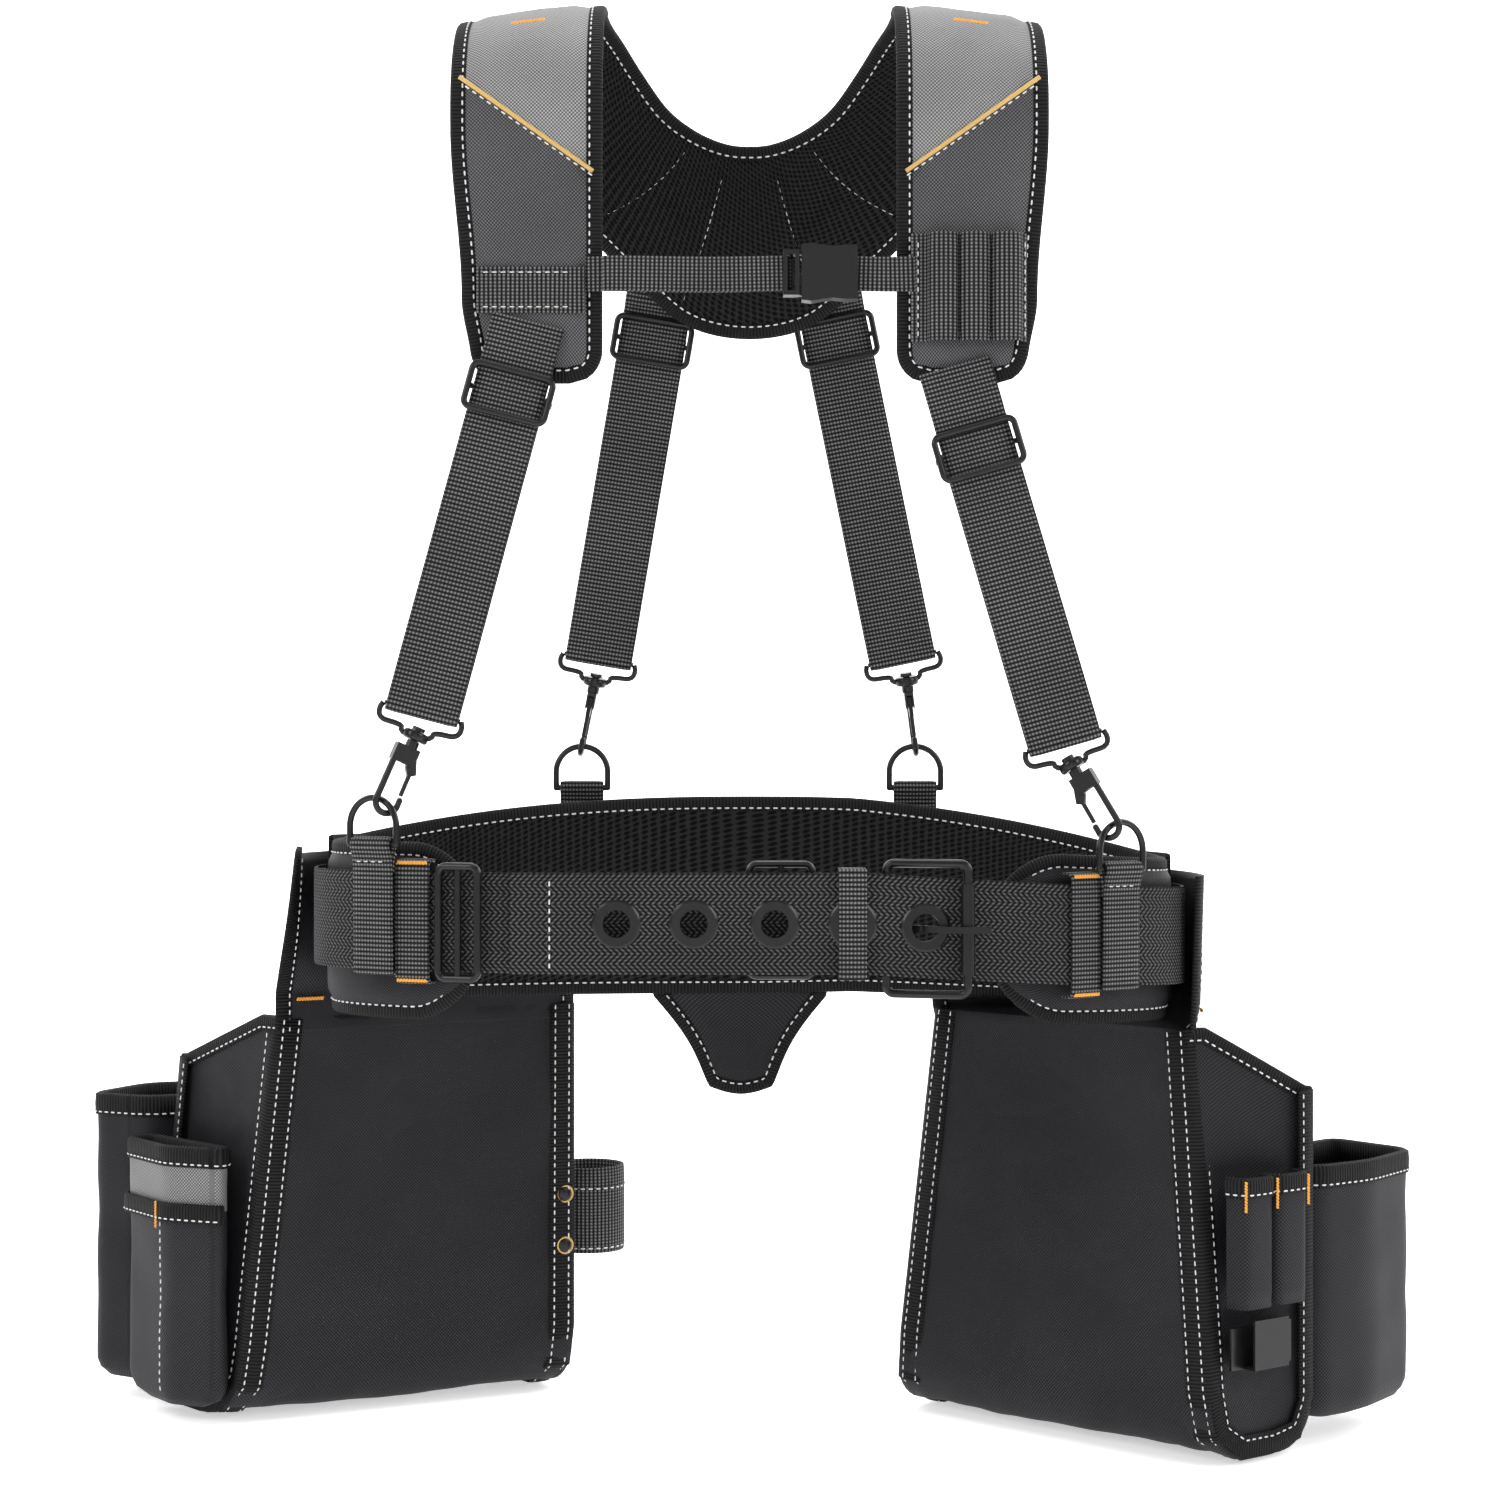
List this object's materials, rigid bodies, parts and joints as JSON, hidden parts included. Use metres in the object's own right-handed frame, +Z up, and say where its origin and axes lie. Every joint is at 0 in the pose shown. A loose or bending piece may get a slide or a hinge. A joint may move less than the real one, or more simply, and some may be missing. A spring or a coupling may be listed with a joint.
{
  "type": "tool belt",
  "caption": "Carpenter's tool belt: padded waist pad with roller buckle, padded shoulder harness on snap hooks, and two open cloth tool bags.",
  "frame": {"origin": "on the floor under the middle of the bounding box; the bags stand on z = 0", "axes": "+Z up, +X to the right for someone facing the belt buckle, the belt buckle faces -Y"},
  "size_m": [0.756, 0.3141, 0.7788],
  "materials": {
    "ballistic_cloth": "woven",
    "webbing": "ribbed webbing",
    "padding": "padded cloth and air mesh",
    "wire": "gloss black",
    "buckle_plastic": "matte"
  },
  "bodies": {
    "belt": {"left_shoulder_pad": "padding", "right_shoulder_pad": "padding", "back_yoke": "padding", "left_chest_band": "webbing", "pen_sleeve": "webbing", "chest_strap_left": "webbing", "chest_strap_right": "webbing", "chest_buckle_socket": "buckle_plastic", "front_left_strap": "webbing", "front_right_strap": "webbing", "rear_left_strap": "webbing", "rear_right_strap": "webbing", "front_left_bracket": "wire", "front_right_bracket": "wire", "rear_left_bracket": "wire", "rear_right_bracket": "wire", "front_left_ring_loop": "webbing", "front_right_ring_loop": "webbing", "rear_ring_tabs": "webbing", "waist_pad": "padding", "waist_sleeve": "padding", "tail_flap": "padding", "buckle_strap": "webbing", "tongue_strap": "webbing", "tongue_grommets": "wire", "left_hip_loop": "webbing", "right_hip_loop": "webbing", "left_bag_hanger": "ballistic_cloth", "right_bag_hanger": "ballistic_cloth", "left_bag_body": "ballistic_cloth", "right_bag_body": "ballistic_cloth", "left_side_pocket": "ballistic_cloth", "left_outer_bag": "ballistic_cloth", "right_outer_bag": "ballistic_cloth", "tool_sleeves": "ballistic_cloth", "tape_clip": "wire", "hammer_loop": "webbing"},
    "front_left_adjuster": {"front_left_adjuster": "wire"},
    "front_left_hook": {"front_left_hook": "wire"},
    "front_left_gate": {"front_left_gate": "wire"},
    "front_left_ring": {"front_left_ring": "wire"},
    "front_right_adjuster": {"front_right_adjuster": "wire"},
    "front_right_hook": {"front_right_hook": "wire"},
    "front_right_gate": {"front_right_gate": "wire"},
    "front_right_ring": {"front_right_ring": "wire"},
    "rear_left_adjuster": {"rear_left_adjuster": "wire"},
    "rear_left_hook": {"rear_left_hook": "wire"},
    "rear_left_gate": {"rear_left_gate": "wire"},
    "rear_left_ring": {"rear_left_ring": "wire"},
    "rear_right_adjuster": {"rear_right_adjuster": "wire"},
    "rear_right_hook": {"rear_right_hook": "wire"},
    "rear_right_gate": {"rear_right_gate": "wire"},
    "rear_right_ring": {"rear_right_ring": "wire"},
    "buckle_frame": {"buckle_frame": "wire"},
    "buckle_roller": {"buckle_roller": "wire"},
    "buckle_prong": {"buckle_prong": "wire"},
    "belt_keeper": {"belt_keeper": "webbing"},
    "belt_slider": {"belt_slider": "wire"},
    "spare_slider": {"spare_slider": "wire"},
    "chest_buckle_prongs": {"chest_buckle_prongs": "buckle_plastic"}
  },
  "joints": [
    {"name": "front_left_adjuster_slide", "type": "slide", "parent": "belt", "child": "front_left_adjuster", "axis": [-0.2519, -0.0978, -0.9628], "range_m": [0, 0.06]},
    {"name": "front_left_hook_swivel", "type": "hinge", "parent": "belt", "child": "front_left_hook", "pos_m": [-0.16537, -0.11819, 0.3808], "axis": [0.3899, 0.1137, 0.9138], "range_deg": [-2, 8]},
    {"name": "front_left_gate_hinge", "type": "hinge", "parent": "front_left_hook", "child": "front_left_gate", "pos_m": [-0.16792, -0.11846, 0.3688], "axis": [-0.4292, 0.9004, 0.0711], "range_deg": [0, 12], "stiffness_Nm_per_rad": 0.02},
    {"name": "front_left_ring_swing", "type": "hinge", "parent": "belt", "child": "front_left_ring", "pos_m": [-0.1873, -0.1182, 0.3255], "axis": [0.866, -0.5, 0], "range_deg": [0, 2]},
    {"name": "front_right_adjuster_slide", "type": "slide", "parent": "belt", "child": "front_right_adjuster", "axis": [0.2719, -0.1051, -0.9566], "range_m": [0, 0.06]},
    {"name": "front_right_hook_swivel", "type": "hinge", "parent": "belt", "child": "front_right_hook", "pos_m": [0.17134, -0.11811, 0.36596], "axis": [-0.4894, 0.1889, 0.8514], "range_deg": [-8, 5]},
    {"name": "front_right_gate_hinge", "type": "hinge", "parent": "front_right_hook", "child": "front_right_gate", "pos_m": [0.17528, -0.11929, 0.35439], "axis": [-0.4517, -0.89, -0.0622], "range_deg": [0, 12], "stiffness_Nm_per_rad": 0.02},
    {"name": "front_right_ring_swing", "type": "hinge", "parent": "belt", "child": "front_right_ring", "pos_m": [0.1966, -0.1203, 0.313], "axis": [0.8192, 0.5736, 0], "range_deg": [-2, 2]},
    {"name": "rear_left_adjuster_slide", "type": "slide", "parent": "belt", "child": "rear_left_adjuster", "axis": [-0.1686, 0.0247, -0.9854], "range_m": [0, 0.06]},
    {"name": "rear_left_hook_swivel", "type": "hinge", "parent": "belt", "child": "rear_left_hook", "pos_m": [-0.08269, 0.05716, 0.41301], "axis": [0.2028, -0.1569, 0.9666], "range_deg": [-25, 25]},
    {"name": "rear_left_gate_hinge", "type": "hinge", "parent": "rear_left_hook", "child": "rear_left_gate", "pos_m": [-0.08521, 0.05648, 0.40101], "axis": [0.9787, 0, -0.2054], "range_deg": [0, 12], "stiffness_Nm_per_rad": 0.02},
    {"name": "rear_left_ring_swing", "type": "hinge", "parent": "belt", "child": "rear_left_ring", "pos_m": [-0.0905, 0.0632, 0.352], "axis": [1, 0, 0], "range_deg": [-2, 2]},
    {"name": "rear_right_adjuster_slide", "type": "slide", "parent": "belt", "child": "rear_right_adjuster", "axis": [0.2023, 0.0244, -0.979], "range_m": [0, 0.06]},
    {"name": "rear_right_hook_swivel", "type": "hinge", "parent": "belt", "child": "rear_right_hook", "pos_m": [0.0962, 0.05715, 0.41347], "axis": [-0.1325, -0.1572, 0.9786], "range_deg": [-25, 25]},
    {"name": "rear_right_gate_hinge", "type": "hinge", "parent": "rear_right_hook", "child": "rear_right_gate", "pos_m": [0.09785, 0.05647, 0.40132], "axis": [0.991, 0, 0.1341], "range_deg": [0, 12], "stiffness_Nm_per_rad": 0.02},
    {"name": "rear_right_ring_swing", "type": "hinge", "parent": "belt", "child": "rear_right_ring", "pos_m": [0.1013, 0.0632, 0.352], "axis": [1, 0, 0], "range_deg": [-2, 2]},
    {"name": "buckle_frame_hinge", "type": "hinge", "parent": "belt", "child": "buckle_frame", "pos_m": [0.0754, -0.1385, 0.2835], "axis": [0, 0, 1], "range_deg": [-3, 0]},
    {"name": "buckle_roller_spin", "type": "hinge", "parent": "buckle_frame", "child": "buckle_roller", "pos_m": [0.11587, -0.14972, 0.2835], "axis": [0, 0, 1], "continuous": true},
    {"name": "buckle_prong_hinge", "type": "hinge", "parent": "buckle_frame", "child": "buckle_prong", "pos_m": [0.0754, -0.1385, 0.2835], "axis": [0, 0, 1], "range_deg": [-1, 0]},
    {"name": "belt_keeper_slide", "type": "slide", "parent": "belt", "child": "belt_keeper", "axis": [-1, 0, 0], "range_m": [0, 0.045]},
    {"name": "belt_slider_slide", "type": "slide", "parent": "belt", "child": "belt_slider", "axis": [0.9397, -0.342, 0], "range_m": [-0.003, 0.003]},
    {"name": "spare_slider_slide", "type": "slide", "parent": "belt", "child": "spare_slider", "axis": [-1, 0, 0], "range_m": [0, 0.02]},
    {"name": "chest_buckle_release", "type": "slide", "parent": "belt", "child": "chest_buckle_prongs", "axis": [-1, 0, 0], "range_m": [0, 0.012]}
  ]
}
